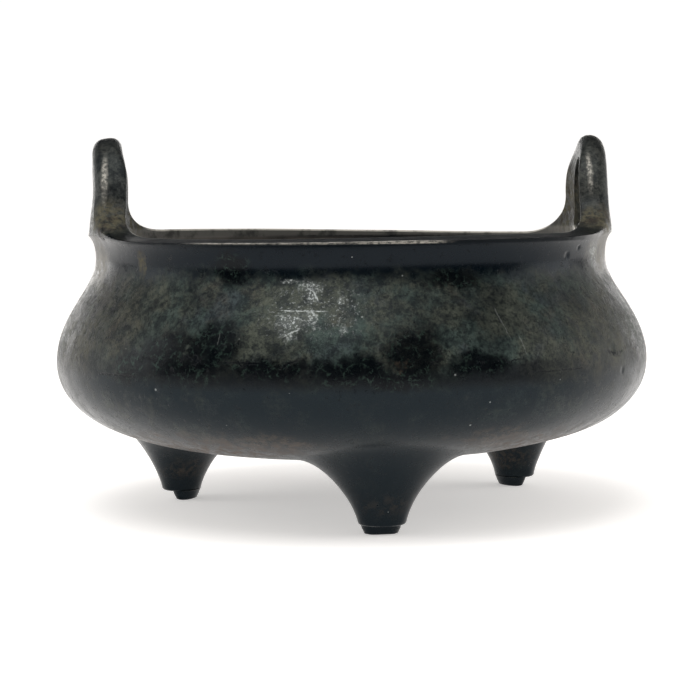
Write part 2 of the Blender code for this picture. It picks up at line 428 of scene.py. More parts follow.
def openingCutter(side):
    # a finger opening's form, wider at both faces so that its rims come out rounded
    h, b = handleShape, bodyShape
    wide, top, corner = h["openingHalfWidth"], h["openingRise"], h["openingCorner"]
    ring = []
    for i in range(25):
        angle = math.pi * i / 24
        ring.append((wide * math.cos(angle), top - wide + wide * math.sin(angle),
                     math.cos(angle), math.sin(angle)))
    for sign in (-1.0, 1.0):
        turns = range(7) if sign < 0 else range(6, -1, -1)
        for i in turns:
            angle = 0.5 * math.pi * i / 6
            ring.append((sign * (wide - corner + corner * math.cos(angle)), corner * (1.0 - math.sin(angle)),
                         sign * math.cos(angle), 0.0))
        if sign < 0:
            # enough points along the sill to follow the lip round
            ring += [(mix(corner - wide, wide - corner, i / 12), 0.0, 0.0, 0.0) for i in range(1, 12)]
    mesh = bmesh.new()
    verts = [mesh.verts.new((0.0, 0.0, 0.0)) for _ in ring]
    loop = [mesh.edges.new(pair) for pair in zip(verts, verts[1:] + verts[:1])]
    bmesh.ops.contextual_create(mesh, geom=loop)
    key = "right" if side > 0 else "left"
    flare = h["openingRound"]
    outerFace = b["ridgeRadius"] - h[key]["setback"] - 0.4 * h[key]["outerLean"]
    innerFace = mouthRadius - 0.5 * (h[key]["farGain"] + h[key]["nearGain"] + h[key]["innerLean"])
    # depth below a face and growth of the outline, both as shares of the rounding
    rounding = ((0.35, 0.33), (0.8, 0.06), (1.3, 0.0))
    steps = [(innerFace - 0.003, flare * 1.9), (innerFace, flare * 0.75)]
    steps += [(innerFace + flare * depth, flare * grow) for depth, grow in rounding]
    steps += [(outerFace - flare * depth, flare * grow) for depth, grow in reversed(rounding)]
    steps += [(outerFace, flare * 0.75), (outerFace + 0.004, flare * 2.4)]
    for number, (radius, grow) in enumerate(steps):
        if number:
            made = bmesh.ops.extrude_edge_only(mesh, edges=loop)["geom"]
            verts = [v for v in made if isinstance(v, bmesh.types.BMVert)]
            loop = [e for e in made if isinstance(e, bmesh.types.BMEdge)]
        for vert, (x, y, nx, ny) in zip(verts, ring):
            turn = math.asin((x + grow * nx) / mouthRadius)
            rise = max(y + grow * ny, 0.0)
            vert.co = Vector((side * radius * math.cos(turn), side * radius * math.sin(turn),
                              lipSurface(radius, turn) + rise))
    bmesh.ops.contextual_create(mesh, geom=loop)
    bmesh.ops.recalc_face_normals(mesh, faces=mesh.faces)
    return makeObject("cutter" + key, mesh)


def makeObject(name, mesh):
    data = bpy.data.meshes.new(name)
    mesh.to_mesh(data)
    mesh.free()
    made = bpy.data.objects.new(name, data)
    bpy.context.scene.collection.objects.link(made)
    return made


# the casting: its wall as one line of points, spun round the axis
rows = bodyShape["rows"]
underside = evenly(undersideCurve(0.0, None), rows["underside"])
shoulder = evenly(shoulderCurve(0.0), rows["shoulder"])
neck = evenly(neckCurve(), rows["neck"])
insideStart = Vector((mouthRadius, bodyShape["rimHeight"] - bodyShape["lipDepth"]))
insideShoulder = evenly(list(reversed(shoulderCurve(bodyShape["wall"]))), rows["insideShoulder"])
insideFloor = evenly(list(reversed(undersideCurve(
    bodyShape["wall"], bodyShape["bottomHeight"] + bodyShape["floorThickness"]))), rows["insideFloor"])

undersideRows = len(underside) - 1
outside = underside + shoulder[1:] + neck[1:]
ridgeRow = len(outside) - 1
lipEnd = ridgeRow + sum(lipRows.values())
inside = evenly([insideStart, insideShoulder[0]], rows["mouth"])[1:] + insideShoulder[1:] + insideFloor[1:]
# the lip's rows only hold their place here; lipColumn sets them
profile = outside + [Vector((0.085, 0.09 + 0.0001 * i)) for i in range(lipEnd - ridgeRow)] + inside

mesh = bmesh.new()
rowLayer = mesh.verts.layers.float.new("row")
verts = [mesh.verts.new((p.x, 0.0, p.y)) for p in profile]
for row, vert in enumerate(verts):
    vert[rowLayer] = row
edges = [mesh.edges.new(pair) for pair in zip(verts, verts[1:])]
bmesh.ops.spin(mesh, geom=verts + edges, cent=(0, 0, 0), axis=(0, 0, 1), angle=2 * math.pi,
               steps=bodyShape["columns"], use_merge=True)
bmesh.ops.remove_doubles(mesh, verts=[v for v in mesh.verts if v.co.xy.length < 1e-5], dist=1e-4)
print("body turned", len(mesh.verts))

columns = {}
for vert in mesh.verts:
    row = round(vert[rowLayer])
    even = math.atan2(vert.co.y, vert.co.x)
    angle = even - 0.5 * bodyShape["crowding"] * math.sin(2.0 * even)
    if ridgeRow <= row <= lipEnd:
        key = round(even, 5)
        if key not in columns:
            columns[key] = lipColumn(angle)
        vert.co = columns[key][row - ridgeRow]
    else:
        spot = profile[row]
        height = spot.y
        if undersideRows < row < ridgeRow:
            # the neck follows the ridge up to the handles
            near = math.atan2(abs(math.sin(angle)), abs(math.cos(angle)))
            lift = nearHandle(near, handleShape["liftReach"]) * handleShape["ridgeLift"]
            height += lift * smooth(height, bodyShape["neckHeight"] - 0.012, bodyShape["rimHeight"])
            side = 1.0 if math.cos(angle) > 0.0 else -1.0
            ridgeHeight = bodyShape["rimHeight"] - bodyShape["lipFall"]
            trim = ridgeTrim(side, near) * smooth(spot.y, bodyShape["neckHeight"], ridgeHeight)
            spot = Vector((spot.x - trim, spot.y))
        vert.co = Vector((spot.x * math.cos(angle), spot.x * math.sin(angle), height))
print("lip and handles raised")

for centre, outward in footPlaces().values():
    reach = footShape["flareRadius"] * 1.06
    zone = [f for f in mesh.faces if all(
        v[rowLayer] <= undersideRows and (v.co.xy - centre.xy).length < reach for v in f.verts)]
    zoneEdges = list(dict.fromkeys(e for f in zone for e in f.edges))
    bmesh.ops.subdivide_edges(mesh, edges=zoneEdges, cuts=1, use_grid_fill=True)
    drawFoot(mesh, centre, outward)
    closeFoot(mesh, centre, outward)
print("feet drawn")

bmesh.ops.recalc_face_normals(mesh, faces=mesh.faces)
censer = makeObject("vessel", mesh)
for side in (1.0, -1.0):
    cutter = openingCutter(side)
    cut = censer.modifiers.new("opening", "BOOLEAN")
    cut.operation, cut.solver, cut.object = "DIFFERENCE", "EXACT", cutter
bpy.context.view_layer.update()
finished = bpy.data.meshes.new_from_object(censer.evaluated_get(bpy.context.evaluated_depsgraph_get()))
censer.modifiers.clear()
censer.data = finished
for old in [o for o in bpy.data.objects if o.name.startswith("cutter")]:
    bpy.data.objects.remove(old)
print("openings cut", len(censer.data.vertices))


# the casting's small irregularities
castingWear = {
    # how far the rim stands off level, by harmonics of the angle: 1, cos, sin, cos 2, sin 2
    "rimWarp": (0.00003, -0.00042, 0.00001, 0.00009, -0.00072),
    "wobble": 0.0003,  # slow unevenness of the hand-finished wall
    "wobbleSize": 0.035,
    "ripple": 0.00006,  # finer hammer and file marks
    "rippleSize": 0.009,
    "steadyLip": (0.09, 0.1),  # heights over which the wall grows truer
    "flatSole": (0.003, 0.012),
    # place, radius and depth of pits and dents
    "pits": [((0.0681, -0.0579, 0.0893), 0.0013, 0.00035), ((0.0729, -0.0529, 0.0917), 0.0009, 0.0003),
             ((0.0687, -0.0605, 0.0955), 0.0009, 0.0003), ((0.08, -0.0424, 0.0927), 0.0008, 0.00025),
             ((0.0775, -0.0462, 0.0945), 0.0006, 0.0002), ((0.0822, -0.062, 0.059), 0.0016, 0.0003),
             ((0.0864, -0.0573, 0.052), 0.0013, 0.00025), ((-0.0653, -0.0802, 0.0496), 0.0014, 0.0002),
             ((-0.0842, -0.0368, 0.096), 0.0006, 0.0004), ((-0.084, -0.0362, 0.095), 0.0005, 0.00045),
             ((-0.0841, -0.0356, 0.094), 0.0005, 0.00035), ((0.0776, -0.0215, 0.119), 0.0011, 0.0004),
             ((-0.0462, 0.079, 0.089), 0.0012, 0.0003), ((0.031, 0.096, 0.062), 0.0014, 0.00025)],
}


def rimOffset(point):
    w = castingWear["rimWarp"]
    angle = math.atan2(point.y, point.x)
    lift = w[0] + w[1] * math.cos(angle) + w[2] * math.sin(angle)
    lift += w[3] * math.cos(2 * angle) + w[4] * math.sin(2 * angle)
    sides = smooth(abs(math.sin(angle)), 0.1, 0.6)
    return lift * sides * smooth(point.z, 0.06, 0.092)


mesh = bmesh.new()
mesh.from_mesh(censer.data)
# the openings' cuts leave two hair-thin slits at the sill, closed here
bmesh.ops.holes_fill(mesh, edges=[e for e in mesh.edges if e.is_boundary], sides=0)
bmesh.ops.recalc_face_normals(mesh, faces=mesh.faces)
for centre, radius, depth in castingWear["pits"]:
    centre = Vector(centre)
    zone = [f for f in mesh.faces if (f.calc_center_median() - centre).length < radius * 1.6 + 0.001]
    zoneEdges = list(dict.fromkeys(e for f in zone for e in f.edges))
    bmesh.ops.subdivide_edges(mesh, edges=zoneEdges, cuts=3, use_grid_fill=True)
mesh.normal_update()
moves = []
for vert in mesh.verts:
    point, normal = vert.co, vert.normal
    quiet = 1.0 - 0.75 * smooth(point.z, *castingWear["steadyLip"])
    quiet *= smooth(point.z, *castingWear["flatSole"])
    push = castingWear["wobble"] * noise.noise(point / castingWear["wobbleSize"]) * quiet
    push += castingWear["ripple"] * noise.noise(point / castingWear["rippleSize"]) * quiet
    for centre, radius, depth in castingWear["pits"]:
        away = (point - Vector(centre)).length
        if away < radius * 1.5:
            push -= depth * (1.0 - smooth(away, 0.2 * radius, radius * 1.4))
    moves.append(normal * push + Vector((0.0, 0.0, rimOffset(point))))
low, high = cadBox
for vert, move in zip(mesh.verts, moves):
    vert.co += move
    vert.co = Vector([min(max(c, a), b) for c, a, b in zip(vert.co, low, high)])
mesh.normal_update()
# how sharply each vertex stands out: rubbed edges and painted edge highlights show there
edgeSharpnessLayer = mesh.verts.layers.float.new("rubbedAndHighlit")
for vert in mesh.verts:
    bend = 0.0
    for edge in vert.link_edges:
        run = vert.co - edge.other_vert(vert).co
        bend += vert.normal.dot(run) / max(run.length, 1e-6)
    vert[edgeSharpnessLayer] = bend / max(len(vert.link_edges), 1)
rowLayer = mesh.verts.layers.float["row"]
# where ash and soot lie: the mouth's wall and everything below it
insideLayer = mesh.verts.layers.float.new("inside")
for vert in mesh.verts:
    depth = smooth(vert[rowLayer], lipEnd - lipRows["inner"] * 0.5, lipEnd + 1)
    vert[insideLayer] = depth * smooth(-vert.co.z, -0.097, -0.094)
mesh.verts.layers.float.remove(rowLayer)
mesh.to_mesh(censer.data)
mesh.free()
censer.data.shade_smooth()
censer.data.set_sharp_from_angle(angle=math.radians(42))
print("casting finished", sum(len(p.vertices) - 2 for p in censer.data.polygons), "triangles")

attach(censer, "root")
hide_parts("censer")


# patina: what is laid on the metal, where, and how large it is; lengths in metres
patina = {
    "bareBronze": "#070e13",  # polished, nearly black with a cold cast
    "lowerBelly": "#0c171d",
    "neckBand": "#030d15",
    "filmGreen": "#3e4b46",  # matte film on the upper belly and handles
    "filmOlive": "#4b4f45",
    "filmBrown": "#50493f",
    "filmSlate": "#383d45",
    "filmDark": "#11181b",
    "handleGrey": "#4b4c4a",
    # pale bloom, partly a painted sheen of grazing light
    "neckBloomAndSheen": "#827f78",
    "blotch": "#02060b",
    "lace": "#3f5249",
    "scuff": "#a9aeac",
    "rootDirt": "#6b6550",
    "rust": "#4c4238",
    # pale rubbed metal, also painted as highlights along sharp edges
    "rubbedAndHighlit": "#b9b5ab",
    "ash": "#5e5953",
    "ashDeep": "#3b3834",
    # warm dust, partly a painted reflection of the floor under the belly
    "underDustAndReflection": "#655950",
    # heights between which a zone starts, and between which it ends; shares follow where they aren't 0 and 1
    "filmLow": (0.049, 0.059),
    "filmHigh": (0.0885, 0.08),
    "handleFoot": (0.096, 0.099),
    "neckZone": ((0.078, 0.086), (0.0965, 0.093)),
    # painted shade: a dark band round the equator, where the bronze mirrors the dim room
    "paintedShadeBand": ((0.06, 0.0555), (0.049, 0.053)),
    "lipZone": ((0.0944, 0.095), (0.0985, 0.097)),
    "mouthZone": ((0.0935, 0.095), (0.099, 0.0975)),
    "dustReflectionZone": ((0.036, 0.027), (0.0225, 0.0275)),
    "ashDepth": (0.07, 0.086),
    "belowEquator": (0.057, 0.05),
    "thinFilmZone": ((0.015, 0.03, 0.4, 1.0), (0.062, 0.054)),
    "handleZone": (0.096, 0.1, 0.0, 0.7),
    "brownShare": (0.092, 0.085, 0.2, 0.4),  # less of it in the neck
    "lipEdge": (0.0947, 0.0952),
    # the same by how far out from the middle something changes
    "sides": (0.05, 0.085),  # where the film turns brown
    "thinSides": (0.02, 0.08, 0.11, 0.45),
    "darkMottle": (0.01, 0.05, 0.75, 0.5),  # fainter on the right
    # where that band of painted shade is strongest: the front and back
    "shadeBandMiddle": (0.08, 0.05, 0.0, 0.75),
    "dullLip": (0.082, 0.064, 0.0, 0.42),
    # half widths of lines, from soft to full
    "filmRim": (0.0007, 0.0001),
    "mouthLine": (0.0008, 0.0003),
    "ridgeLine": (0.0014, 0.0004),
    "lineInset": {"mouth": 0.0003, "ridge": -0.001},  # where they lie, from the mouth and from the ridge
    "lineFade": (1.2, 0.4, 0.6),  # a scratch's soft and full half width and full half length, as shares
    "lineEnds": (0.006, 0.003),  # how far past its end a scratch may show
    "bends": {"edge": (0.16, 0.4, 0.0, 0.45), "mouth": (0.01, 0.08, 0.26, 1.0)},  # sharpness that is rubbed, and at the mouth also painted as a highlight
    # real sizes of the patterns; the grain is drawn coarse enough to show
    "scale": {"patch": 0.016, "olive": 0.021, "slate": 0.0175, "brown": 0.0125, "thinFilm": 0.008,
              "mottle": 0.0042, "speckle": 0.0014, "crumb": 0.0048, "pinhole": 0.0021, "pitting": 0.0026,
              "veins": 0.003, "veinBreak": 0.0022, "bloomSheenGrain": 0.0024, "rimBreak": 0.01, "lineBreak": 0.0011,
              "dirt": 0.0022, "rust": 0.0055, "crust": 0.0024, "dustReflectionGrain": 0.0035, "stipple": 0.0009,
              "flyspeck": 0.0065, "flyspeckPatch": 0.02, "ash": 0.012, "corner": 0.004, "mouth": 0.007,
              "lip": 0.0013, "streakGrain": 0.0012, "sheen": 0.006, "grain": 0.0007},
    # how far shapes are pushed about: size of the noise, and reach
    "fray": (0.011, 0.014),
    "jag": (0.0016, 0.0012),
    "crumble": (0.0045, 0.007),
    "veinBend": (0.004, 0.006),
    "roughness": (0.21, 0.54),  # polished metal, matte film
    "relief": {"strength": 0.45, "depth": 0.00012},
    # centre and half sizes of the dark blotches in the film
    "blotches": [
        ((-0.0572, -0.0845, 0.06), (0.021, 0.018, 0.0085)),
        ((-0.0742, -0.0722, 0.057), (0.01, 0.01, 0.006)),
        ((-0.046, -0.0914, 0.065), (0.009, 0.009, 0.009)),
        ((-0.0051, -0.1032, 0.057), (0.014, 0.012, 0.0045)),
        ((0.0148, -0.101, 0.0622), (0.009, 0.01, 0.009)),
        ((0.0085, -0.1032, 0.0545), (0.012, 0.012, 0.004)),
        ((0.035, -0.096, 0.058), (0.012, 0.01, 0.004)),
        ((-0.03, -0.099, 0.057), (0.014, 0.012, 0.0035)),
        ((-0.0407, -0.0795, 0.087), (0.006, 0.008, 0.005)),
        ((0.03, -0.09, 0.083), (0.012, 0.01, 0.004)),
        ((0.061, 0.078, 0.06), (0.02, 0.018, 0.008)),
        ((-0.03, 0.095, 0.061), (0.017, 0.012, 0.007)),
        ((-0.096, 0.03, 0.059), (0.012, 0.018, 0.006)),
        ((0.099, 0.008, 0.06), (0.01, 0.016, 0.006))],
    # white scuffs: centre and half sizes
    "scuffs": [
        ((-0.0165, -0.088, 0.0815), (0.0038, 0.006, 0.0018)),
        ((-0.0158, -0.0905, 0.079), (0.0018, 0.006, 0.0026)),
        ((-0.0225, -0.095, 0.0715), (0.005, 0.008, 0.0026)),
        ((-0.0165, -0.094, 0.0725), (0.002, 0.006, 0.0022)),
        ((-0.0228, -0.0873, 0.0833), (0.003, 0.006, 0.0007)),
        ((-0.0238, -0.0967, 0.0672), (0.0022, 0.006, 0.0016)),
        ((-0.0065, -0.0985, 0.069), (0.0016, 0.008, 0.0014)),
        ((-0.007, -0.093, 0.0775), (0.0018, 0.008, 0.001)),
        ((0.08, -0.042, 0.09), (0.0026, 0.006, 0.004)),
        ((0.03, 0.092, 0.07), (0.009, 0.008, 0.005))],
    # thin haze of fine marks round them
    "haze": [
        ((-0.015, -0.093, 0.074), (0.022, 0.014, 0.0105))],
    # long scratches: middle, direction, half length, half width, strength
    "scratches": [
        ((-0.019, -0.0935, 0.0746), (0.99, -0.14, -0.02), 0.0085, 0.0002, 0.9),
        ((-0.0155, -0.0945, 0.0733), (0.55, -0.1, -0.8), 0.0024, 0.00022, 0.8),
        ((-0.0225, -0.0965, 0.0682), (0.88, -0.1, 0.42), 0.003, 0.00024, 0.8),
        ((-0.0152, -0.09, 0.0795), (0.4, -0.05, -0.9), 0.0026, 0.00026, 0.8),
        ((0.043, -0.089, 0.07), (0.45, 0.1, -0.88), 0.006, 0.00014, 0.16),
        ((0.0495, -0.0885, 0.063), (0.4, 0.12, -0.9), 0.0036, 0.00014, 0.22),
        ((-0.045, -0.09, 0.066), (0.25, -0.1, 0.95), 0.0022, 0.00016, 0.15)],
    # dark broken lines along the equator, where the film ends
    "equator": [
        ((-0.0787, -0.0674, 0.0533), (0.65, -0.76, 0.0), 0.012, 0.00045, 0.9),
        ((-0.0385, -0.0955, 0.059), (0.93, -0.37, 0.0), 0.008, 0.0004, 0.9),
        ((0.062, -0.083, 0.0545), (0.8, 0.6, 0.0), 0.013, 0.00035, 0.8),
        ((0.085, 0.059, 0.055), (-0.57, 0.82, 0.0), 0.012, 0.0004, 0.8)],
    # greenish and rusty dirt at the handles' roots and under them
    "dirt": [
        ((-0.083, -0.03, 0.103), (0.008, 0.012, 0.0075)),
        ((-0.0703, -0.056, 0.0885), (0.0022, 0.0028, 0.005)),
        ((0.078, 0.02, 0.108), (0.008, 0.014, 0.016)),
        ((0.083, -0.03, 0.101), (0.008, 0.012, 0.006)),
        ((-0.08, 0.03, 0.101), (0.01, 0.012, 0.006))],
    # brown crust low on the belly and on the feet
    "crusts": [
        ((-0.033, -0.0845, 0.0325), (0.019, 0.012, 0.0045)),
        ((0.008, -0.063, 0.012), (0.01, 0.012, 0.006)),
        ((-0.06, 0.018, 0.013), (0.01, 0.012, 0.006)),
        ((0.062, 0.04, 0.012), (0.01, 0.012, 0.006)),
        ((0.045, -0.08, 0.033), (0.014, 0.012, 0.0035)),
        ((0.02, 0.086, 0.033), (0.018, 0.012, 0.0045)),
        ((0.011, -0.102, 0.059), (0.003, 0.008, 0.0012))],
    # small pale specks: place and half size
    "specks": [
        ((0.0271, -0.0999, 0.0549), 0.00045), ((0.0384, -0.095, 0.0459), 0.0003),
        ((-0.0036, -0.0897, 0.0909), 0.00025), ((0.0325, -0.0924, 0.0386), 0.0004),
        ((-0.0653, -0.0802, 0.0496), 0.0005), ((0.012, -0.089, 0.085), 0.0003),
        ((-0.001, -0.0967, 0.0728), 0.0004), ((-0.05, 0.086, 0.056), 0.0005),
        ((0.07, 0.069, 0.047), 0.0004)],
    # polished streaks down the handles' front edges, partly painted highlights on their rounded fronts
    "streaksAndHighlights": [
        ((0.0818, -0.0215, 0.1185), (0.001, 0.008, 0.0085)),
        ((-0.0846, -0.0215, 0.117), (0.0011, 0.008, 0.0095)),
        ((-0.086, 0.021, 0.115), (0.0011, 0.008, 0.008))],
    # pale crumbly bloom on the neck below the handles, partly a painted sheen of grazing light
    "bloomsAndSheen": [
        ((0.085, -0.033, 0.09), (0.01, 0.018, 0.008)),
        ((-0.088, -0.025, 0.088), (0.006, 0.018, 0.0085)),
        ((0.09, -0.008, 0.087), (0.008, 0.014, 0.005)),
        ((-0.084, 0.036, 0.09), (0.008, 0.012, 0.004))],
    # where the lip's outer edge is worn bright; along the near lip partly a painted highlight
    "lipWearAndHighlight": [
        ((-0.018, -0.0905, 0.0957), (0.015, 0.006, 0.003)),
        ((-0.042, -0.082, 0.0957), (0.017, 0.012, 0.003)),
        ((0.011, -0.0918, 0.0957), (0.018, 0.006, 0.003)),
        ((0.03, 0.087, 0.096), (0.02, 0.008, 0.003))],
    # the feet stay free of the dust and its painted floor reflection: height and half sizes of the clean
    # places
    "cleanFoot": (0.02, (0.036, 0.036, 0.05)),
}


def linear(hexColor):
    parts = [int(hexColor[i:i + 2], 16) / 255 for i in (1, 3, 5)]
    return tuple(c / 12.92 if c <= 0.04045 else ((c + 0.055) / 1.055) ** 2.4 for c in parts) + (1.0,)


def addNode(kind, settings, inputs, output=0):
    # adds a node to the tree in hand, sets it up, links or fills its inputs and hands back one output
    node = tree.nodes.new("ShaderNode" + kind)
    for key, value in settings.items():
        setattr(node, key, value)
    for key, value in (inputs.items() if isinstance(inputs, dict) else enumerate(inputs)):
        if isinstance(value, bpy.types.NodeSocket):
            tree.links.new(value, node.inputs[key])
        else:
            node.inputs[key].default_value = value
    return node.outputs[output]


# Cast bronze with an old brown-black patina: satin where handled, matte and mottled where dust has bitten in
bronze = bpy.data.materials.new("patinatedCastBronze")
bronze.use_nodes = True
tree = bronze.node_tree
shader = tree.nodes["Principled BSDF"]
place = addNode("TexCoord", {}, (), "Object")
scale = patina["scale"]
soft, pigment = {"interpolation_type": "SMOOTHSTEP"}, {"data_type": "RGBA"}
times, plus, minus = {"operation": "MULTIPLY"}, {"operation": "ADD"}, {"operation": "SUBTRACT"}
most, least = {"operation": "MAXIMUM"}, {"operation": "MINIMUM"}
length, unsigned, scaled = {"operation": "LENGTH"}, {"operation": "ABSOLUTE"}, {"operation": "SCALE"}


def joined(how, *parts):
    # joins masks, shares and soft borders; a border is a level and the two values it opens between
    made = None
    for part in parts:
        part = addNode("MapRange", soft, part) if isinstance(part, tuple) else part
        made = part if made is None else addNode("Math", how, (made, part))
    return made


def layered(base, layers):
    # lays colours over a base one after another, each through its mask
    for through, top in layers:
        top = linear(patina[top]) if isinstance(top, str) else top
        base = addNode("Mix", pigment, {0: through, 6: base, 7: top}, 2)
    return base


def grown(size, detail, low, high, rest=0.0, roughness=0.65):
    # noise of a real size, turned into a mask between two levels
    made = addNode("TexNoise", {}, {"Vector": place, "Scale": 1 / size, "Detail": detail,
                                    "Roughness": roughness})
    return addNode("MapRange", soft, (made, low, high, rest))


def strayed(size, reach):
    # the place pushed about by noise, so that what is drawn there frays
    stray = addNode("TexNoise", {}, {"Vector": place, "Scale": 1 / size, "Detail": 6.0,
                                     "Roughness": 0.7}, "Color")
    stray = addNode("VectorMath", minus, (stray, (0.5, 0.5, 0.5)))
    return addNode("VectorMath", plus, (place, addNode("VectorMath", scaled, {0: stray, "Scale": reach})))


def spots(listed, start, end, around):
    # one mask for several rounded places, 1 inside and 0 outside
    nearest = []
    for centre, reach in listed:
        off = addNode("VectorMath", minus, (around, centre))
        off = addNode("VectorMath", {"operation": "DIVIDE"}, (off, reach))
        nearest.append(addNode("VectorMath", length, (off,), "Value"))
    return addNode("MapRange", soft, (joined(least, *nearest), start, end))


def crumbled(listed, start, end, around, *texture):
    # spots broken up by noise
    return joined(times, spots(listed, start, end, around), grown(*texture))


def drawn(lines):
    # one mask for broken straight lines
    found, fade, past = [], patina["lineFade"], patina["lineEnds"]
    for middle, along, half, width, strength in lines:
        direction = Vector(along).normalized()
        off = addNode("VectorMath", minus, (jagged, middle))
        run = addNode("VectorMath", {"operation": "DOT_PRODUCT"}, (off, direction), "Value")
        drift = addNode("VectorMath", scaled, {0: direction, "Scale": run})
        drift = addNode("VectorMath", minus, (off, drift))
        drop = addNode("SeparateXYZ", {}, (drift,), "Z" if abs(direction.z) < 0.6 else "X")
        aside, ends = addNode("Math", unsigned, (drop,)), addNode("Math", unsigned, (run,))
        away = addNode("VectorMath", length, (off,), "Value")
        found.append(joined(times, (aside, width * fade[0], width * fade[1]), (ends, half, half * fade[2]),
                            (away, half + past[0], half + past[1]), strength))
    return joined(times, joined(most, *found), grown(scale["lineBreak"], 4.0, 0.36, 0.52, 0.15))


frayed = strayed(*patina["fray"])
jagged = strayed(*patina["jag"])
crumbling = strayed(*patina["crumble"])
height = addNode("SeparateXYZ", {}, (frayed,), "Z")
trueHeight = addNode("SeparateXYZ", {}, (place,), "Z")
sideways = addNode("SeparateXYZ", {}, (place,), "X")
across = addNode("Math", unsigned, (sideways,))
ring = addNode("VectorMath", length, (addNode("VectorMath", times, (place, (1.0, 1.0, 0.0))),), "Value")
within = addNode("Attribute", {"attribute_name": "inside"}, {}, "Fac")
outer = addNode("Math", minus, (1.0, within))
convex = addNode("Attribute", {"attribute_name": "rubbedAndHighlit"}, {}, "Fac")

# the matte film between the equator and the neck and over the handles, and a thin one low down
speckle = grown(scale["speckle"], 5.0, 0.36, 0.6, 0.35, 0.75)
mottle = grown(scale["mottle"], 8.0, 0.36, 0.62, 0.0, 0.75)
belly = joined(times, (height, *patina["filmLow"]), (height, *patina["filmHigh"]))
film = joined(most, belly, joined(times, (trueHeight, *patina["handleFoot"]), 0.9))
film = joined(times, film, grown(scale["patch"], 8.0, 0.36, 0.56, 0.55), speckle)
thin = joined(times, grown(scale["thinFilm"], 8.0, 0.46, 0.66, 0.05, 0.72), speckle,
              *[(trueHeight, *border) for border in patina["thinFilmZone"]], (across, *patina["thinSides"]))
film = joined(most, film, thin)

# dark blotches where the film has gone, with lacy green veins in them
blotched = crumbled(patina["blotches"], 1.35, 0.55, frayed, scale["crumb"], 6.0, 0.28, 0.42, 0.0, 0.7)
film = joined(times, film, addNode("Math", minus, (1.0, joined(times, blotched, 0.9))), outer)
veins = addNode("TexVoronoi", {"feature": "DISTANCE_TO_EDGE"},
                {"Vector": strayed(*patina["veinBend"]), "Scale": 1 / scale["veins"]}, "Distance")
veins = joined(times, (veins, 0.12, 0.0, 0.0, 0.45), blotched,
               grown(scale["veinBreak"], 4.0, 0.45, 0.62, 0.0, 0.7))

# film colours: green, olive, slate and brown in slow patches, mottled dark, browner at the sides
filmColor = layered(linear(patina["filmGreen"]), [
    (grown(scale["olive"], 5.0, 0.42, 0.58), "filmOlive"),
    (joined(times, grown(scale["slate"], 6.0, 0.5, 0.64), 0.55), "filmSlate"),
    (joined(times, grown(scale["brown"], 6.0, 0.54, 0.68), 0.45), "filmBrown"),
    (joined(times, (across, *patina["sides"]), (trueHeight, *patina["brownShare"])), "filmBrown"),
    (joined(times, (trueHeight, *patina["handleZone"])), "handleGrey"),
    (joined(times, (mottle, 0.85, 0.0), (sideways, *patina["darkMottle"])), "filmDark")])
# pale bloom on the neck, partly a painted sheen of grazing light
bloomsAndSheen = crumbled(patina["bloomsAndSheen"], 1.3, 0.4, frayed, scale["bloomSheenGrain"], 6.0, 0.34, 0.56, 0.0, 0.75)

# dark crumbs eaten through the film, the line where it ends, and below that a band of painted shade where the
# bronze mirrors the dim room, strongest at the front and back
crumbs = joined(most, joined(times, grown(scale["pinhole"], 5.0, 0.58, 0.68, 0.0, 0.7), film),
                joined(times, grown(scale["pitting"], 5.0, 0.6, 0.68, 0.0, 0.75), outer, 0.7))
fromRim = addNode("Math", unsigned, (addNode("Math", minus, (height, patina["filmLow"][1])),))
rim = joined(times, (fromRim, *patina["filmRim"]), grown(scale["rimBreak"], 4.0, 0.48, 0.6), outer)
dark = joined(most, joined(times, crumbs, 0.85), rim, drawn(patina["equator"]))
shadeBandStart, shadeBandEnd = patina["paintedShadeBand"]
shadeBand = joined(times, (height, *shadeBandStart), (trueHeight, *shadeBandEnd), outer,
              (across, *patina["shadeBandMiddle"]))
inNeck = joined(times, (height, *patina["neckZone"][0]), (trueHeight, *patina["neckZone"][1]))

# dirt at the handles' roots, rusty in its middle, brown crust low down, and beneath a warm dust that is
# partly a painted reflection of the floor
dirt = crumbled(patina["dirt"], 1.25, 0.4, crumbling, scale["dirt"], 6.0, 0.38, 0.58, 0.1, 0.75)
soil = layered(linear(patina["rootDirt"]), [(grown(scale["rust"], 4.0, 0.48, 0.6), "rust")])
crust = crumbled(patina["crusts"], 1.3, 0.4, frayed, scale["crust"], 6.0, 0.42, 0.6, 0.0, 0.7)
cleanRise, cleanReach = patina["cleanFoot"]
feet = [(centre + Vector((0.0, 0.0, cleanRise)), cleanReach) for centre, outward in footPlaces().values()]
# warm band under the belly: dust, partly a painted reflection of the floor
dustReflectionStart, dustReflectionEnd = patina["dustReflectionZone"]
dustAndReflection = joined(times, (height, *dustReflectionStart), (trueHeight, *dustReflectionEnd),
               grown(scale["dustReflectionGrain"], 6.0, 0.42, 0.62, 0.1, 0.72), spots(feet, 0.7, 1.2, frayed))

# white scuffs: fine stippled marks in a cloud, a few long scratches, and pale specks
cloud = crumbled(patina["scuffs"], 1.5, 0.3, crumbling, scale["stipple"], 4.0, 0.5, 0.62, 0.12, 0.75)
haze = crumbled(patina["haze"], 1.2, 0.2, frayed, scale["stipple"], 4.0, 0.56, 0.66, 0.04, 0.75)
specks = spots([(centre, (half, half, half)) for centre, half in patina["specks"]], 1.2, 0.4, place)
tiny = addNode("TexVoronoi", {"feature": "F1"},
               {"Vector": place, "Scale": 1 / scale["flyspeck"]}, "Distance")
tiny = joined(times, (tiny, 0.036, 0.018, 0.0, 0.45), grown(scale["flyspeckPatch"], 3.0, 0.48, 0.6))
scuffed = joined(most, cloud, joined(times, haze, 0.55), drawn(patina["scratches"]),
                 joined(times, specks, 0.45), tiny)

# ash-grey inside, darker further down
ashen = joined(times, within, grown(scale["ash"], 7.0, 0.3, 0.62, 0.45, 0.75))
ashColor = layered(linear(patina["ashDeep"]), [(joined(times, (trueHeight, *patina["ashDepth"])), "ash")])
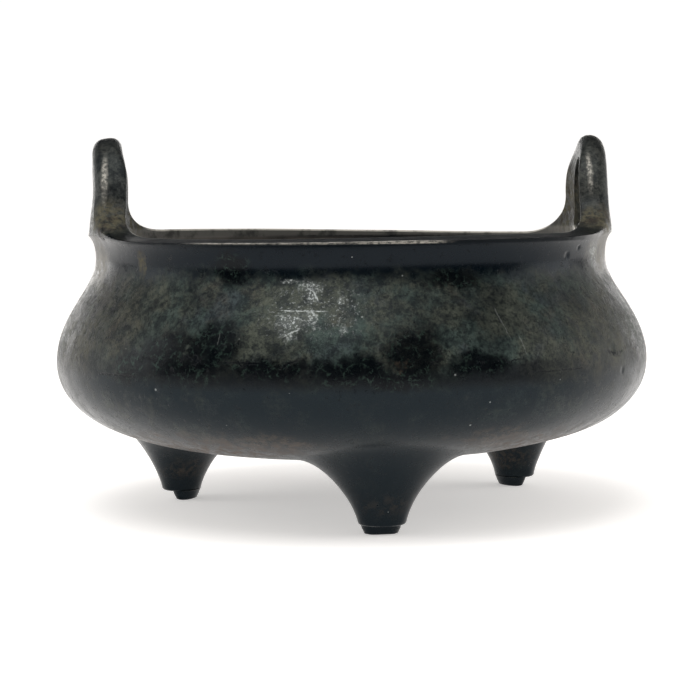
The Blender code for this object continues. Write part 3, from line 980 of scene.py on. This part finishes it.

# rubbed edges and painted highlights: the mouth's all round (mostly a painted highlight line), the lip's
# outer one here and there, and the handles' corners
lipTop = joined(times, *[(trueHeight, *border) for border in patina["lipZone"]])
corners = joined(times, (convex, *patina["bends"]["edge"]), grown(scale["corner"], 4.0, 0.44, 0.6, 0.05),
                 addNode("Math", minus, (1.0, lipTop)))
# the mouth's bright edge line: mostly a painted highlight, partly rubbed metal
mouthLine = mouthRadius + patina["lineInset"]["mouth"]
fromMouth = addNode("Math", unsigned, (addNode("Math", minus, (ring, mouthLine)),))
mouthWearAndHighlight = joined(times, (fromMouth, *patina["mouthLine"]), (convex, *patina["bends"]["mouth"]),
                   *[(trueHeight, *border) for border in patina["mouthZone"]],
                   grown(scale["mouth"], 4.0, 0.32, 0.52, 0.4), 0.95)
ridgeLine = bodyShape["ridgeRadius"] + patina["lineInset"]["ridge"]
fromRidge = addNode("Math", unsigned, (addNode("Math", minus, (ring, ridgeLine)),))
# worn bright lip edge, partly a painted highlight
lipWearAndHighlight = joined(times, (fromRidge, *patina["ridgeLine"]), spots(patina["lipWearAndHighlight"], 1.3, 0.5, jagged),
                 (trueHeight, *patina["lipEdge"]), grown(scale["lip"], 5.0, 0.42, 0.54, 0.2, 0.75))
# pale streaks on the handles' fronts, partly painted highlights
streakAndHighlight = crumbled(patina["streaksAndHighlights"], 1.4, 0.3, jagged, scale["streakGrain"], 4.0, 0.44, 0.6, 0.25, 0.7)
wornAndHighlit = joined(most, corners, mouthWearAndHighlight, lipWearAndHighlight, joined(times, streakAndHighlight, 0.7))

# the colours from the bare metal up
color = layered(linear(patina["bareBronze"]), [
    (joined(times, (height, *patina["belowEquator"])), "lowerBelly"), (inNeck, "neckBand"),
    (blotched, "blotch"), (film, filmColor), (joined(times, bloomsAndSheen, 0.9), "neckBloomAndSheen"), (shadeBand, "blotch"),
    (veins, "lace"), (dark, "blotch"), (joined(times, dirt, 0.65), soil), (joined(times, crust, 0.5), "rust"),
    (dustAndReflection, "underDustAndReflection"), (scuffed, "scuff"), (ashen, ashColor), (wornAndHighlit, "rubbedAndHighlit")])

# satin metal; the film, dirt and scuffs are matte
matte = joined(most, film, joined(times, dirt, 0.9), scuffed, bloomsAndSheen, dustAndReflection, ashen)
polished, dulled = patina["roughness"]
rough = addNode("MapRange", {}, {"Value": matte, "To Min": polished, "To Max": dulled})
rough = joined(plus, rough, joined(times, joined(most, dirt, ashen), 0.28),
               joined(times, lipTop, (across, *patina["dullLip"])),
               joined(times, grown(scale["sheen"], 5.0, 0.35, 0.65), 0.08))
grain = addNode("TexNoise", {}, {"Vector": place, "Scale": 1 / scale["grain"], "Detail": 3.0,
                                 "Roughness": 0.6})
relief = addNode("Math", {"operation": "MULTIPLY_ADD"}, (grain, 0.35, joined(times, speckle, film)))
relief = addNode("Math", minus, (relief, joined(times, dark, 1.5)))
bumped = addNode("Bump", {}, {"Strength": patina["relief"]["strength"], "Distance": patina["relief"]["depth"],
                              "Height": relief})
for name, socket in {"Base Color": color, "Roughness": rough, "Normal": bumped}.items():
    tree.links.new(socket, shader.inputs[name])
shader.inputs["Metallic"].default_value = 0.45  # the patina dulls the metal's mirror
shader.inputs["Specular IOR Level"].default_value = 0.23
censer.data.materials.clear()
censer.data.materials.append(bronze)
print("patina laid")

# floor, light and camera
studio = {
    "floorColor": "#f2f0ee",
    "floorSize": 6.0,
    "worldColor": "#fffdfb",
    "dimRoom": 0.015,
    "brightWall": 3.3,
    "wallEdge": (0.45, 1.0),  # how far round the bright wall reaches
    "wallTop": (0.4, 0.1),  # and how high
    "backdrop": 1.05,
    "fill": 0.7,
    "floorGlow": 0.48,
}
floorMesh = bmesh.new()
bmesh.ops.create_grid(floorMesh, x_segments=1, y_segments=1, size=studio["floorSize"])
floor = makeObject("floor", floorMesh)
floorPaint = bpy.data.materials.new("paleMattFloor")  # matt paper; it mirrors nothing
floorPaint.use_nodes = True
paper = floorPaint.node_tree.nodes["Principled BSDF"].inputs
for name in ("Base Color", "Emission Color"):
    paper[name].default_value = linear(studio["floorColor"])
paper["Roughness"].default_value = 1.0
paper["Specular IOR Level"].default_value = 0.0
paper["Emission Strength"].default_value = studio["floorGlow"]
floor.data.materials.append(floorPaint)

# pale all round for the eye; the bronze mirrors a bright wall behind and a dim room in front
world = bpy.data.worlds.new("studio")
world.use_nodes = True
tree = world.node_tree
background = tree.nodes["Background"]
ray = addNode("TexCoord", {}, (), "Generated")
ahead, upward = addNode("SeparateXYZ", {}, (ray,), "Y"), addNode("SeparateXYZ", {}, (ray,), "Z")
wall = joined(times, (ahead, *studio["wallEdge"]), (upward, *studio["wallTop"]))
wall = addNode("MapRange", {}, {"Value": wall, "To Min": studio["dimRoom"], "To Max": studio["brightWall"]})
spread, seen = addNode("LightPath", {}, (), "Is Diffuse Ray"), addNode("LightPath", {}, (), "Is Camera Ray")
strength = addNode("Mix", {"data_type": "FLOAT"}, {0: spread, 2: wall, 3: studio["fill"]}, 0)
strength = addNode("Mix", {"data_type": "FLOAT"}, {0: seen, 2: strength, 3: studio["backdrop"]}, 0)
tree.links.new(strength, background.inputs["Strength"])
background.inputs["Color"].default_value = linear(studio["worldColor"])
bpy.context.scene.world = world
bpy.context.scene.view_settings.view_transform = "Standard"

lights = {
    "overhead": {"place": (-0.2, -0.45, 1.1), "size": 0.9, "power": 8.0},
    "leftPanel": {"place": (-1.3, 0.1, 0.45), "size": 0.8, "power": 4.0},
    "rightPanel": {"place": (1.3, 0.1, 0.45), "size": 0.8, "power": 4.0},
}
lightAim = Vector((0, 0, 0.06))
for name, light in lights.items():
    lamp = bpy.data.lights.new(name, "AREA")
    lamp.shape, lamp.size, lamp.energy = "SQUARE", light["size"], light["power"]
    held = bpy.data.objects.new(name, lamp)
    held.location = light["place"]
    held.rotation_euler = (lightAim - held.location).to_track_quat("-Z", "Y").to_euler()
    bpy.context.scene.collection.objects.link(held)

cameraView = {
    "place": (-0.0318, -0.6993, 0.1093),
    "pitch": 4.39,  # degrees down
    "yaw": 2.6,  # degrees, so that the vessel's axis stands in the middle
    "aside": 0.063,
    "roll": -0.5,
    "focal": 1976.0,  # in pixels of the photo's frame
    "frame": 698.0,  # the frame's width in pixels
    "sensor": 36.0,  # millimetres
}
cameraData = bpy.data.cameras.new("camera")
cameraData.sensor_width = cameraView["sensor"]
cameraData.lens = cameraView["focal"] / cameraView["frame"] * cameraView["sensor"]
camera = bpy.data.objects.new("camera", cameraData)
camera.location = cameraView["place"]
camera.rotation_euler = (Matrix.Rotation(math.radians(-cameraView["yaw"] + cameraView["aside"]), 3, "Z")
                         @ Matrix.Rotation(math.radians(90.0 - cameraView["pitch"]), 3, "X")
                         @ Matrix.Rotation(math.radians(cameraView["roll"]), 3, "Z")).to_euler()
bpy.context.scene.collection.objects.link(camera)
bpy.context.scene.camera = camera
